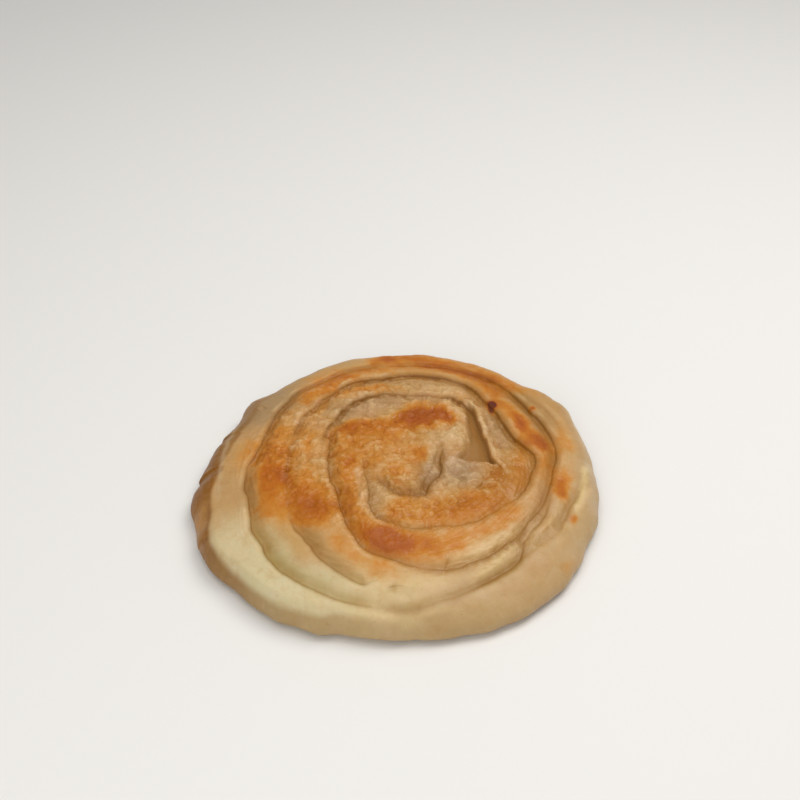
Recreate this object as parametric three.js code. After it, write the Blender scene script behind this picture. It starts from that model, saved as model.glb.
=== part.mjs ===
// Parotta: a coiled, layered flatbread.
// One baked piece. A rope of pleated dough is wound into a flat coil, pressed and
// griddled, so the top is a low dome crossed by the seams of the winding. Each outer
// turn stands a little proud of the turn inside it, and the underside is flat.
// Millimetres, +Z up, origin on the surface it rests on, at the middle of its outline.

import * as THREE from 'three';

// ---- driving dimensions -------------------------------------------------------
const CROWN_HEIGHT = 26.0;      // middle of the bread above the surface
const SHOULDER_HEIGHT = 14.0;   // where the dome meets the rounded edge
const DOME_POWER = 1.8;         // fall-off of the dome from crown to shoulder
const EDGE_HEIGHT = 4.6;        // height of the widest line of the edge
const EDGE_ROUNDING = 0.10;     // share of the radius taken by the rounded edge, above
const UNDERCUT = 5.5;           // how far the edge tucks in to the resting face
const SEAM_DEPTH = 2.4;         // drop on the inner side of a seam
const SEAM_WIDTH = 3.4;         // half width of that drop
const LIP_HEIGHT = 0.9;         // swelling of the outer turn beside a seam
const LIP_WIDTH = 3.2;          // half width of that swelling
const PIT_DEPTH = 3.8;          // open gap between two turns right of the middle
const TOP_RINGS = 27;           // rings from the middle to the start of the edge
const EDGE_RINGS = 5;           // rings of the rounded edge above its widest line
const UNDER_RINGS = 3;          // rings of the rounded edge below it
const SECTORS = 132;            // steps round the outline

// Outline radius every 10 degrees, anticlockwise from +X.
const OUTLINE = [
  94.7, 95.4, 96.7, 100.0, 98.8, 96.0, 96.0, 95.8, 95.4, 94.2, 93.1, 92.6,
  90.1, 88.6, 89.0, 87.4, 87.2, 88.6, 90.5, 93.9, 94.8, 96.2, 94.8, 94.4,
  94.9, 93.8, 91.9, 91.7, 92.8, 94.2, 95.9, 97.0, 97.0, 95.9, 95.2, 95.1,
];

// Seams of the winding, in plan, from outside in. The dough turns anticlockwise
// inwards, and the inner side of each seam lies towards the middle of the bread.
const OUTER_SEAM = [
  [71.7, -19.8], [65.7, -36.7], [55.8, -55.5], [39.4, -72.2], [8, -86.2], [-24.9, -80.6], [-44.8, -69],
  [-57.8, -51.5], [-64.7, -31.6], [-68.7, -16.7], [-66.7, 3.1], [-60.7, 27.9], [-52.7, 47.4], [-42.7, 61],
  [-27.8, 72.8], [5, 78.7], [37.8, 72.5], [56.7, 57.2], [65.3, 42.4], [73.6, 27.6], [76.6, 12.8],
  [73.7, -5], [67.7, -25.6], [57.5, -41.9], [48.4, -52.1], [36.4, -61.2], [19.4, -67.2], [0, -62.3],
  [-12.1, -57.5], [-21.1, -44.2], [-25.1, -30.2], [-28.7, -19.2], [-31.1, -1.3], [-30.5, 13.3], [-26.9, 26.4],
];
const INNER_SEAM = [
  [-10, -73.4], [-19.3, -70.9], [-30.2, -62.4], [-38.7, -50.9], [-46.3, -37.3], [-49.8, -11.4], [-48.8, 10.4],
  [-45.8, 28.9], [-39.1, 41.5], [-29.5, 52.6], [-19.9, 60.9], [-6, 63.8], [10, 66.9], [24.9, 65.2],
  [37.8, 58.4], [43.8, 47.6], [49.8, 35.9], [55.8, 21.1], [63.7, 9.1], [65.7, -1.8], [61.8, -13.6],
  [50.8, -28.5], [38.9, -39.3], [22.9, -44], [2.4, -44.7], [-7.9, -39.8], [-11.8, -28.8], [-14, -14.1],
  [-13, -1.2],
];
const GAP_SEAM = [
  [-34.1, 7.6], [-33.3, 15.5], [-31.4, 22.4], [-27.2, 30.9], [-22.9, 38.6], [-16.3, 44.5], [-6, 47.9],
  [5, 48], [17.6, 46.9], [27.9, 46.2], [33.9, 42.7], [37.9, 37.1], [39.4, 27.7], [41.3, 18.2],
  [43.7, 8.4], [47.1, -1.5], [50.4, -8.5],
];
const KNOB_SEAM = [
  [-8.3, -13.1], [-6.7, -19.1], [-1.2, -24.6], [7.3, -27.3], [14.5, -25.8], [16.4, -19.7], [20.6, -15],
  [22.3, -8.2], [22, -1.2], [21.7, 7.3], [20.5, 17.6],
];
// The last turn leaves an open gap beside its inner seam: a strip that widens towards its near end, as [x, y, half width].
const GAP = [[37.3, 37, 2.4], [37.8, 27, 2.8], [38.5, 14, 3.6], [38.2, 4, 5.0]];

// ---- helpers ------------------------------------------------------------------
const clamp01 = (v) => Math.min(1, Math.max(0, v));
const smooth = (v) => { const t = clamp01(v); return t * t * (3 - 2 * t); };

// Outline radius at an angle, on a closed Catmull-Rom curve through the table.
function outlineRadius(angle) {
  const n = OUTLINE.length;
  const u = ((angle / (2 * Math.PI)) % 1 + 1) % 1 * n;
  const i = Math.floor(u);
  const t = u - i;
  const p = [-1, 0, 1, 2].map((k) => OUTLINE[(i + k + n) % n]);
  return 0.5 * (2 * p[1] + (p[2] - p[0]) * t
    + (2 * p[0] - 5 * p[1] + 4 * p[2] - p[3]) * t * t
    + (3 * p[1] - p[0] - 3 * p[2] + p[3]) * t * t * t);
}

// A smooth curve through a seam's points, as closely spaced plan points.
function traced(points) {
  const curve = new THREE.CatmullRomCurve3(points.map(([x, y]) => new THREE.Vector3(x, y, 0)));
  return curve.getSpacedPoints(points.length * 5);
}

// Height change beside one seam: a drop inside it and a swelling outside it, fading
// out over its two ends.
function seamOffset(seam, x, y) {
  let best = Infinity;
  let offset = 0;
  const last = seam.length - 1;
  for (let i = 0; i < last; i++) {
    const a = seam[i];
    const b = seam[i + 1];
    const dx = b.x - a.x;
    const dy = b.y - a.y;
    const t = clamp01(((x - a.x) * dx + (y - a.y) * dy) / (dx * dx + dy * dy));
    const px = a.x + t * dx;
    const py = a.y + t * dy;
    const d = Math.hypot(x - px, y - py);
    if (d < best) {
      best = d;
      const inside = Math.hypot(x, y) < Math.hypot(px, py);
      const s = inside ? d : -d;
      const along = (i + t) / last;
      const fade = smooth(along / 0.06) * smooth((1 - along) / 0.06);
      const drop = Math.exp(-(((s - 2.2) / SEAM_WIDTH) ** 2));
      const lip = Math.exp(-(((s + 2.8) / LIP_WIDTH) ** 2));
      offset = fade * (LIP_HEIGHT * lip - SEAM_DEPTH * drop);
    }
  }
  return offset;
}

// Depth of the open gap at a plan point.
function gapOffset(x, y) {
  let depth = 0;
  for (let i = 0; i < GAP.length - 1; i++) {
    const [ax, ay, aw] = GAP[i];
    const [bx, by, bw] = GAP[i + 1];
    const dx = bx - ax;
    const dy = by - ay;
    const t = clamp01(((x - ax) * dx + (y - ay) * dy) / (dx * dx + dy * dy));
    const d = Math.hypot(x - ax - t * dx, y - ay - t * dy);
    const w = aw + t * (bw - aw) + 1.2;
    depth = Math.max(depth, smooth(1.35 - (0.7 * d) / w));
  }
  return -PIT_DEPTH * depth;
}

const seams = [OUTER_SEAM, INNER_SEAM, GAP_SEAM, KNOB_SEAM].map(traced);

// Height of the top, before the edge is rounded off.
function topHeight(x, y, share) {
  let z = SHOULDER_HEIGHT + (CROWN_HEIGHT - SHOULDER_HEIGHT) * (1 - share ** DOME_POWER);
  for (const seam of seams) z += seamOffset(seam, x, y);
  return z + gapOffset(x, y);
}

// ---- the solid ----------------------------------------------------------------
function breadGeometry() {
  const rings = [];
  for (let k = 1; k <= TOP_RINGS; k++) {
    const share = (k / TOP_RINGS) * (1 - EDGE_ROUNDING);
    rings.push((a) => {
      const r = share * outlineRadius(a);
      const x = r * Math.cos(a);
      const y = r * Math.sin(a);
      return [x, y, topHeight(x, y, share)];
    });
  }
  for (let k = 1; k <= EDGE_RINGS; k++) {
    const turn = (k / EDGE_RINGS) * (Math.PI / 2);
    rings.push((a) => {
      const share = 1 - EDGE_ROUNDING * (1 - Math.sin(turn));
      const r = share * outlineRadius(a);
      const x = r * Math.cos(a);
      const y = r * Math.sin(a);
      const z = topHeight(x, y, 1 - EDGE_ROUNDING);
      return [x, y, EDGE_HEIGHT + (z - EDGE_HEIGHT) * Math.cos(turn)];
    });
  }
  for (let k = 1; k <= UNDER_RINGS; k++) {
    const turn = (k / UNDER_RINGS) * (Math.PI / 2);
    rings.push((a) => {
      const r = outlineRadius(a) - UNDERCUT * (1 - Math.cos(turn));
      return [r * Math.cos(a), r * Math.sin(a), EDGE_HEIGHT * (1 - Math.sin(turn))];
    });
  }

  const positions = [0, 0, topHeight(0, 0, 0)];
  for (const ring of rings) {
    for (let j = 0; j < SECTORS; j++) positions.push(...ring((j / SECTORS) * 2 * Math.PI));
  }
  const bottom = positions.length / 3;
  positions.push(0, 0, 0);

  const at = (k, j) => 1 + k * SECTORS + (j % SECTORS);
  const index = [];
  for (let j = 0; j < SECTORS; j++) {
    index.push(0, at(0, j), at(0, j + 1));
    for (let k = 0; k < rings.length - 1; k++) {
      index.push(at(k, j), at(k + 1, j), at(k + 1, j + 1));
      index.push(at(k, j), at(k + 1, j + 1), at(k, j + 1));
    }
    index.push(bottom, at(rings.length - 1, j + 1), at(rings.length - 1, j));
  }

  const geometry = new THREE.BufferGeometry();
  geometry.setAttribute('position', new THREE.Float32BufferAttribute(positions, 3));
  geometry.setIndex(index);
  // The middle of the outline's box goes on the axis.
  geometry.computeBoundingBox();
  const { min, max } = geometry.boundingBox;
  geometry.translate(-(min.x + max.x) / 2, -(min.y + max.y) / 2, 0);
  geometry.computeVertexNormals();
  return geometry;
}

const crust = new THREE.MeshStandardMaterial({
  name: 'griddled_crust', color: 0xc98f4c, roughness: 0.55, metalness: 0,
});

const parotta = new THREE.Mesh(breadGeometry(), crust);
parotta.name = 'parotta';

const part = new THREE.Group();
part.add(parotta);

export default part;
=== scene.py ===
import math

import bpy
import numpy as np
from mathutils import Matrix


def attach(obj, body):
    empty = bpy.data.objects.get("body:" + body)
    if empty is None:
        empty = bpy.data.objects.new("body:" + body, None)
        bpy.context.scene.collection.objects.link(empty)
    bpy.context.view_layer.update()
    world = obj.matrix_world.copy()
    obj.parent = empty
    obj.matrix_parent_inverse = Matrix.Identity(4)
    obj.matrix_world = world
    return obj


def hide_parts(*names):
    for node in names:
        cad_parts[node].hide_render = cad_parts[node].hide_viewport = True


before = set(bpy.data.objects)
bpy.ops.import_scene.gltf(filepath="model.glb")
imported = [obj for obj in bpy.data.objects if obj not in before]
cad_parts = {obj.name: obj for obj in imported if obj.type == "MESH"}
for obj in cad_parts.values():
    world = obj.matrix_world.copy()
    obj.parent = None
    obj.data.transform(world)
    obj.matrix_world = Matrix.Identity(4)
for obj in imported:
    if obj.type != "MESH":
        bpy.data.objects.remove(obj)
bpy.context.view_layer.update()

# Parotta: a coiled, layered, griddled flatbread, on a plain pale floor.
#
# The bread is one mesh. Its top is a height field over the plan: a low dome, cut by the
# seams of the winding. Beside each seam the outer turn ends in a crisp lip, the surface
# drops on the inner side and then climbs back over several millimetres to the next lip.
# Plan measurements are in millimetres; +Y points away from the camera.

# ---- size and outline ---------------------------------------------------------------
CROWN = 26.0  # height of the middle
SHOULDER = 14.0  # height where the dome meets the rounded edge
DOME_POWER = 1.8
EDGE = 4.6  # height of the widest line of the edge
UNDERCUT = 5.5  # how far the edge tucks in below that line
CENTRE = (1.0, 1.3)  # the outline's middle, which goes on the axis
# Outline radius every 5 degrees, anticlockwise from +X.
OUTLINE = [
    94.7, 94.6, 95.4, 96.0, 96.7, 98.3, 100.5, 100.2, 99.5, 96.9, 96.0, 96.2,
    96.8, 97.4, 96.6, 95.9, 96.4, 95.4, 95.0, 95.0, 93.9, 93.9, 93.4, 92.5,
    90.9, 90.5, 89.6, 88.8, 90.2, 91.0, 88.3, 87.8, 88.2, 89.4, 89.6, 90.3,
    91.5, 94.1, 95.3, 94.5, 94.8, 95.9, 96.4, 95.9, 94.5, 94.1, 94.2, 94.7,
    94.8, 93.8, 94.2, 91.6, 91.7, 91.9, 92.2, 92.1, 93.3, 93.7, 94.1, 95.6,
    95.6, 96.8, 96.7, 96.7, 96.8, 96.1, 95.9, 94.4, 95.2, 95.8, 95.1, 95.3,
]

# ---- the seams of the winding: plan x, y and the drop on the inner side ---------------
SEAMS = {
    'outer': [
        (71.7, -19.8, 0.4), (69.7, -25.7, 0.9), (68.2, -31.6, 1.4), (65.7, -36.7, 1.6), (61.8, -42.1, 1.5),
        (57.8, -47.5, 1.4), (55.8, -55.5, 1.8), (52.8, -62.5, 2.1), (45.8, -68, 2.4), (39.4, -72.2, 2.4),
        (30.9, -77, 1.4), (19.9, -81.5, 1.2), (8, -86.2, 1.6), (-5, -85.7, 1.8), (-14.9, -83.7, 1.8),
        (-24.9, -80.6, 1.8), (-34.8, -75.5, 2.0), (-39.8, -72.5, 2.2), (-44.8, -69, 2.4), (-49.8, -64.5, 2.5),
        (-55.8, -56.5, 2.6), (-57.8, -51.5, 2.7), (-60.8, -46.4, 2.7), (-63.3, -41.5, 2.7), (-64.7, -31.6, 2.8),
        (-65.7, -26.6, 2.8), (-66.7, -21.6, 2.8), (-68.7, -16.7, 2.8), (-68.7, -8.8, 2.7), (-68.7, -1.9, 2.6),
        (-66.7, 3.1, 2.4), (-64.7, 8.1, 2.4), (-62.7, 18, 2.4), (-60.7, 27.9, 2.4), (-57.7, 37.7, 2.4),
        (-55.2, 42.6, 2.4), (-52.7, 47.4, 2.4), (-50.7, 52.3, 2.3), (-47.7, 57.2, 2.3), (-42.7, 61, 2.2),
        (-37.8, 65, 2.1), (-32.8, 68.9, 2.0), (-27.8, 72.8, 1.9), (-19.9, 75.7, 1.8), (-9.9, 77.7, 1.6),
        (5, 78.7, 1.4), (16.9, 77.9, 1.5), (29.8, 75.6, 1.6), (37.8, 72.5, 1.8), (44.7, 68.8, 2.0),
        (50.7, 63.5, 2.4), (56.7, 57.2, 2.8), (59.2, 53.2, 3.2), (62.7, 47.4, 3.4), (65.3, 42.4, 3.3),
        (68.7, 37.5, 3.3), (71.7, 32.6, 3.3), (73.6, 27.6, 3.2), (75.2, 22.6, 3.0), (76.1, 17.7, 2.8),
        (76.6, 12.8, 2.8), (76.6, 7.9, 2.8), (75.7, 2.9, 2.6), (73.7, -5, 2.5), (72.7, -9.9, 2.4),
        (70.7, -16.8, 2.1), (67.7, -25.6, 1.9), (63.8, -32.6, 1.9), (59.3, -38.5, 2.1), (57.5, -41.9, 2.3),
        (55.1, -45.5, 2.4), (52.1, -49.2, 2.4), (48.4, -52.1, 2.3), (44.8, -55.7, 2.3), (41.3, -58.8, 2.2),
        (36.4, -61.2, 2.0), (31.6, -63.6, 1.9), (27.9, -65.7, 1.8), (19.4, -67.2, 1.9), (10.5, -66, 1.8),
        (5, -64.3, 1.8), (0, -62.3, 2.2), (-5, -60.8, 2.5), (-7.9, -59.9, 2.5), (-12.1, -57.5, 2.6),
        (-15.7, -53.7, 2.7), (-18.7, -48.2, 2.8), (-21.1, -44.2, 2.8), (-22.7, -39.2, 2.8), (-23.9, -34.2, 2.8),
        (-25.1, -30.2, 2.8), (-25.9, -25.2, 3.0), (-27.2, -21.6, 3.2), (-28.7, -19.2, 2.9), (-29.9, -15.6, 2.7),
        (-30.8, -6.3, 2.6), (-31.1, -1.3, 2.6), (-31.1, 3.7, 2.6), (-31.1, 8.6, 2.5), (-30.5, 13.3, 2.2),
        (-29.7, 17.5, 1.6), (-28.1, 22.4, 0.7), (-26.9, 26.4, 0.2),
    ],
    'pit': [
        (-34.1, 7.6, 0.3), (-33.9, 12, 1.3), (-33.3, 15.5, 2.0), (-32.7, 19, 2.4), (-31.4, 22.4, 2.6),
        (-28.9, 26.6, 2.7), (-27.2, 30.9, 2.7), (-25.4, 35, 2.7), (-22.9, 38.6, 2.7), (-19.9, 41.5, 2.7),
        (-16.3, 44.5, 2.8), (-11.9, 46.3, 2.8), (-6, 47.9, 2.7), (0, 48.3, 2.6), (5, 48, 2.6),
        (11, 47.5, 2.6), (17.6, 46.9, 2.7), (22.9, 46.7, 2.8), (27.9, 46.2, 2.9), (30.9, 44.4, 3.0),
        (34.1, 42.9, 3.1), (36.9, 40.5, 3.2), (38.7, 37.1, 3.2), (39.9, 32.5, 3.2), (40.5, 27.7, 3.2),
        (41.7, 23, 3.2), (42.4, 18.2, 3.2), (43.5, 13.4, 3.2), (44.5, 8.4, 3.2), (45.2, 2.5, 3.0),
        (47.1, -1.5, 2.4), (49.5, -5, 1.5), (50.4, -8.5, 0.5),
    ],
    'inner': [
        (-10, -73.4, 0.5), (-12.7, -74.3, 1.5), (-15.7, -73.4, 1.9), (-19.3, -70.9, 1.9), (-22.9, -68.4, 1.9),
        (-26.6, -65.4, 1.9), (-30.2, -62.4, 1.9), (-33.9, -58.2, 2.1), (-36.3, -53.8, 2.2), (-38.7, -50.9, 2.2),
        (-41.1, -47.1, 2.1), (-44.1, -43.5, 1.8), (-46.3, -37.3, 1.0), (-47.8, -29.3, 0.8), (-48.8, -21.4, 0.8),
        (-49.8, -11.4, 1.2), (-49.8, -4.5, 1.4), (-49.4, 3.4, 1.7), (-48.8, 10.4, 1.8), (-48.3, 19.3, 1.8),
        (-47.4, 24.2, 1.8), (-45.8, 28.9, 1.9), (-44.1, 33, 1.9), (-41.6, 36.9, 2.0), (-39.1, 41.5, 2.2),
        (-36.2, 46.1, 2.4), (-33.2, 49.1, 2.7), (-29.5, 52.6, 3.0), (-26.6, 55.5, 3.2), (-23.6, 58.5, 3.4),
        (-19.9, 60.9, 3.5), (-16.3, 62.4, 3.5), (-10.9, 63.4, 3.5), (-6, 64.5, 3.6), (0, 66.4, 3.7),
        (5, 67.6, 3.8), (10, 67.7, 3.9), (14.9, 67.4, 4.0), (19.9, 66.8, 4.0), (24.9, 65.6, 4.0),
        (29.8, 63.2, 4.0), (34.8, 60.8, 4.0), (37.8, 58.4, 4.0), (39.8, 55.9, 3.8), (41.8, 52.6, 3.6),
        (43.8, 47.6, 3.4), (45.8, 42.8, 3.3), (47.3, 40.8, 3.4), (49.8, 35.9, 3.8), (51.8, 31, 4.2),
        (53.8, 26.1, 4.4), (55.8, 21.1, 4.5), (58.8, 16.1, 4.4), (61.7, 12.1, 4.0), (63.7, 9.1, 3.6),
        (65.7, 6.1, 3.0), (66.1, 2.1, 2.8), (65.7, -1.8, 2.6), (63.8, -6.7, 2.4), (62.7, -10, 2.4),
        (61.8, -13.6, 2.3), (59.3, -18.9, 2.2), (56.3, -23.7, 1.8), (50.8, -28.5, 1.4), (47.2, -32.1, 1.3),
        (43.7, -35.7, 1.3), (38.9, -39.3, 1.4), (33.9, -41.7, 1.4), (28.9, -43.6, 1.4), (22.9, -44, 1.3),
        (17, -44.6, 1.4), (8.5, -46.2, 1.7), (2.4, -44.7, 1.7), (-1.8, -42.9, 1.9), (-4.8, -41.7, 2.1),
        (-7.9, -39.8, 2.3), (-10.3, -36.7, 2.3), (-11.5, -32.5, 2.2), (-11.8, -28.8, 2.1), (-12, -24, 2.0),
        (-12.7, -19.1, 1.9), (-14, -14.1, 1.7), (-14.5, -6.1, 1.2), (-13, -1.2, 0.3),
    ],
    'knob': [
        (20.5, 17.6, 0.2), (21.1, 12.2, 0.6), (21.7, 7.3, 0.9), (22.9, 1.8, 1.5), (22, -1.2, 2.4),
        (21.7, -4.7, 3.0), (22.3, -8.2, 3.2), (21.7, -12, 3.0), (20.6, -15, 2.7), (18.2, -17.3, 2.3),
        (16.4, -19.7, 2.7), (15.5, -23.4, 3.2), (14.5, -25.8, 3.2), (11.5, -27, 2.7), (7.3, -27.3, 2.4),
        (2.4, -26.4, 2.4), (-1.2, -24.6, 2.6), (-4.2, -22.1, 2.8), (-6.7, -19.1, 2.6), (-7.9, -16.1, 1.6),
        (-8.3, -13.1, 0.4),
    ],
    'ridge': [
        (91.6, 7, 0.2), (90.8, 1.0, 0.6), (89.1, -4.3, 1.0), (87.4, -9.9, 1.2), (85.5, -14.3, 1.4),
        (84, -18.1, 1.5), (81.6, -23, 1.6), (79.2, -26.8, 1.6), (77.4, -31.8, 1.7), (75.2, -36.7, 1.7),
        (73.2, -41.6, 1.3), (69.7, -45.2, 0.8), (65.7, -48.6, 0.3),
    ],
    'fold': [
        (55.5, 65.5, 0.2), (59.5, 62, 0.6), (63.6, 55.5, 1.1), (67.6, 50.2, 1.3), (73.6, 43.2, 1.4),
        (77.6, 36.5, 1.3), (79.6, 30.4, 1.0), (80.6, 22.5, 0.3),
    ],
    'pleat1': [
        (11, -24.1, 0.3), (12, -20.1, 0.9), (13.5, -16.1, 1.0), (15.5, -11.1, 1.0), (17.5, -5.2, 0.9),
        (19, 0.8, 0.6), (19.5, 5.7, 0.1),
    ],
    'pleat2': [
        (3, -22.1, 0.2), (5, -18.1, 0.6), (7.5, -13.1, 0.6), (9.5, -8.1, 0.2),
    ],
    'nick1': [
        (33.9, -25.2, 0.2), (35.9, -21.3, 0.9), (37.9, -18.3, 1.1), (39.9, -15.8, 0.9), (41.7, -12.8, 0.2),
    ],
    'nick2': [
        (22.5, -13.2, 0.2), (23.3, -15, 1.2), (24.2, -16.8, 0.2),
    ],
    'nick3': [
        (60.8, -45.6, 0.2), (57.8, -48.4, 1.3), (56.1, -50.3, 1.3), (53.4, -52.3, 0.3),
    ],
    'nick4': [
        (20.9, -67.4, 0.2), (21.3, -64.4, 0.9), (22.1, -61.8, 0.9), (22.7, -59.3, 0.2),
    ],
    'nick5': [
        (-42.3, 39.9, 0.2), (-39.8, 43.4, 1.2), (-37.4, 46.3, 1.2), (-35, 48.3, 0.2),
    ],
    'nick6': [
        (-3, -75.9, 0.2), (-1.2, -74.6, 1.0), (0.8, -74, 1.0), (2.6, -74.4, 0.2),
    ],
    'nick7': [
        (65.2, 42.9, 0.3), (66.5, 40.6, 1.4), (67.9, 39.8, 1.2), (69.6, 40.5, 0.2),
    ],
    'layer1': [
        (42.4, 38, 0.2), (43.6, 31.1, 0.7), (45, 24.2, 0.8), (46.8, 17.3, 0.8), (49.6, 10.3, 0.7),
        (52.3, 4.4, 0.2),
    ],
    'layer2': [
        (46.3, 29.1, 0.2), (48.4, 23.3, 0.8), (50.8, 17.7, 0.9), (53.6, 12.2, 0.9), (56.8, 8.2, 0.9),
        (59.8, 6.6, 0.2),
    ],
    'front1': [
        (24.9, -85.8, 0.2), (14.9, -88.2, 0.6), (5, -89.2, 0.8), (-3, -89.4, 0.2),
    ],
    'front2': [
        (43.8, -73.5, 0.2), (35.9, -77.5, 0.7), (26.9, -80.8, 0.8), (17.9, -84, 0.6), (10, -85.7, 0.2),
    ],
    'side1': [
        (-77.9, 22.3, 0.2), (-75.2, 29.2, 0.8), (-71.6, 37.2, 1.0), (-67.8, 45.3, 1.0), (-64.7, 45.1, 0.8),
        (-68.2, 44.6, 0.2),
    ],
}
GAP = [  # the hollow beside the inner turn, row by row: y, its left side and its right
    (-4, 28.5, 47.2), (-2, 28.5, 46.6), (0, 28.5, 45.8), (2.5, 30, 45.0), (5, 31.8, 44.5), (8.5, 33, 44.0),
    (13, 33.6, 43.1), (18, 33.6, 42.1), (23, 34, 41.3), (28, 34.2, 40.3), (34, 34, 39.6), (39, 33.5, 38.3),
    (42, 33, 36.5), (45, 33, 34.6),
]
# The streaks' colours: the dough's own paler tone with painted highlight along the pale ridges and lips, and painted
# shade in the shaded bands.
STREAKS = [  # pale ridges and shaded bands: the line, half width, rise, colour seen and its share
    ([(62, -31), (54.5, -40.2), (48.2, -47), (40, -54), (31, -59.5), (20, -62)], 2.5, 0.25, (216, 186, 140), 0.8),
    ([(66.5, -29), (60.5, -41), (50.5, -52.7), (40, -60.2), (30, -64.8)], 1.6, -0.15, (158, 118, 64), 0.5),
    ([(71.2, -30.5), (67.2, -38.5), (62.5, -44.8)], 2.0, 0.35, (210, 174, 126), 0.8),
    ([(56.5, -49.2), (49, -56.5), (42.5, -62.2), (36, -67.5), (29, -72.5)], 2.5, 0.3, (210, 182, 132), 0.75),
    ([(75, -26), (70.5, -36), (64.5, -46), (58, -55.2), (50.5, -62.2), (42.5, -69), (33, -75)], 1.9, -0.2, (166, 128, 70), 0.6),
    ([(77.5, -33), (73.8, -40), (69, -45.5)], 1.0, 0.15, (216, 186, 136), 0.7),
    ([(59.5, -56), (52, -63.5), (44.5, -69.2), (37, -74.3), (28, -78.5)], 1.2, 0.15, (208, 180, 130), 0.55),
    ([(91, 10), (90, 4), (88.2, -3), (86.8, -11), (84.6, -19), (81.6, -27), (78, -34)], 1.8, 0.22, (230, 208, 160), 0.95),
    ([(-75, 36), (-79, 22), (-80.5, 6), (-80.5, -12), (-78.5, -29)], 1.3, 0.12, (194, 168, 134), 0.55),
    ([(-80, 24), (-76, 35), (-70, 45), (-61, 54), (-50, 62)], 1.3, -0.15, (152, 120, 92), 0.5),
    ([(-15.3, -3), (-16.6, -12), (-15.2, -22), (-14.2, -30), (-12.6, -37)], 1.6, 0.2, (214, 172, 128), 0.7),
    ([(24.4, 1), (25.8, -3), (26.6, -8)], 2.1, 0.5, (214, 182, 148), 0.7),
    ([(83, 62), (86, 50), (88.5, 38), (90, 25)], 2.0, 0.1, (206, 176, 128), 0.5),
    ([(-26, -84.3), (-10, -87.3), (4, -88.6), (16, -88.2)], 1.7, 0.12, (220, 198, 152), 0.6),
    ([(-14, 45.2), (-4, 46), (6, 46), (14, 44.5), (20, 41)], 1.5, 0.25, (204, 172, 136), 0.6),
]
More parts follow.
